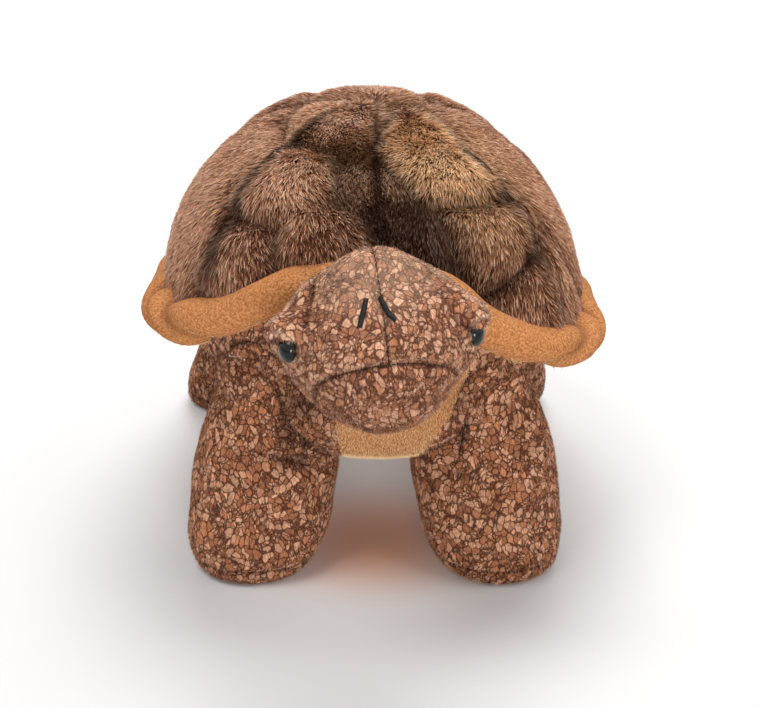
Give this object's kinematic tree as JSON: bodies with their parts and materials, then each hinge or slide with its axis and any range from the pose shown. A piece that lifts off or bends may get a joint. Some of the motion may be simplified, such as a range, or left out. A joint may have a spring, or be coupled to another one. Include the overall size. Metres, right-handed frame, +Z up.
{
  "type": "plush tortoise",
  "caption": "Stuffed plush tortoise with a quilted long-pile shell on a rolled rim, a printed head on a short neck and sewn legs that flex.",
  "frame": {"origin": "on the floor under the middle of the whole toy", "axes": "+Z up, the face looks along -Y, +X to the right of someone who faces it"},
  "size_m": [0.1934, 0.3166, 0.1815],
  "materials": {
    "long_pile": "long brown pile with lighter tips, quilted",
    "short_plush": "short caramel plush",
    "printed_plush": "short nap with a mosaic print",
    "printed_plush_dark": "short nap with a darker mosaic print",
    "eye_gloss": "polished black",
    "thread": "satin stitch",
    "washer": "moulded",
    "stuffing": "loose fibre"
  },
  "bodies": {
    "body": {"shell_front_left_panel": "long_pile", "shell_front_right_panel": "long_pile", "shell_right_panel": "long_pile", "shell_rear_panel": "long_pile", "shell_left_panel": "long_pile", "rim_cover": "short_plush", "rim_stuffing": "stuffing", "shoulder_left_cover": "printed_plush_dark", "shoulder_right_cover": "printed_plush_dark", "belly_cover": "short_plush", "body_stuffing": "stuffing", "tail_cover": "printed_plush_dark", "tail_stuffing": "stuffing"},
    "neck": {"neck_cover": "printed_plush", "neck_stuffing": "stuffing"},
    "head": {"chin_panel": "printed_plush", "head_left_panel": "printed_plush", "head_right_panel": "printed_plush", "head_stuffing": "stuffing", "eye_left": "eye_gloss", "eye_washer_left": "washer", "eye_right": "eye_gloss", "eye_washer_right": "washer", "nostril_stitch_left": "thread", "nostril_stitch_right": "thread"},
    "leg_front_left": {"leg_front_left_cover": "printed_plush_dark", "leg_front_left_foot": "printed_plush_dark", "leg_front_left_stuffing": "stuffing"},
    "leg_front_right": {"leg_front_right_cover": "printed_plush_dark", "leg_front_right_foot": "printed_plush_dark", "leg_front_right_stuffing": "stuffing"},
    "leg_hind_left": {"leg_hind_left_cover": "printed_plush_dark", "leg_hind_left_foot": "printed_plush_dark", "leg_hind_left_stuffing": "stuffing"},
    "leg_hind_right": {"leg_hind_right_cover": "printed_plush_dark", "leg_hind_right_foot": "printed_plush_dark", "leg_hind_right_stuffing": "stuffing"}
  },
  "joints": [
    {"name": "head_turn", "type": "hinge", "parent": "body", "child": "neck", "pos_m": [0, -0.07596, 0.105], "axis": [0, 0, 1], "range_deg": [-12, 12], "stiffness_Nm_per_rad": 0.8},
    {"name": "head_nod", "type": "hinge", "parent": "neck", "child": "head", "pos_m": [0.0005, -0.11096, 0.127], "axis": [1, 0, 0], "range_deg": [-8, 8], "stiffness_Nm_per_rad": 0.8},
    {"name": "front_left_leg_swing", "type": "hinge", "parent": "body", "child": "leg_front_left", "pos_m": [-0.04, -0.04196, 0.088], "axis": [1, 0, 0], "range_deg": [-12, 12], "stiffness_Nm_per_rad": 0.8},
    {"name": "front_right_leg_swing", "type": "hinge", "parent": "body", "child": "leg_front_right", "pos_m": [0.04, -0.04196, 0.088], "axis": [1, 0, 0], "range_deg": [-12, 12], "stiffness_Nm_per_rad": 0.8},
    {"name": "hind_left_leg_swing", "type": "hinge", "parent": "body", "child": "leg_hind_left", "pos_m": [-0.044, 0.08404, 0.076], "axis": [1, 0, 0], "range_deg": [-12, 12], "stiffness_Nm_per_rad": 0.8},
    {"name": "hind_right_leg_swing", "type": "hinge", "parent": "body", "child": "leg_hind_right", "pos_m": [0.044, 0.08404, 0.076], "axis": [1, 0, 0], "range_deg": [-12, 12], "stiffness_Nm_per_rad": 0.8}
  ]
}
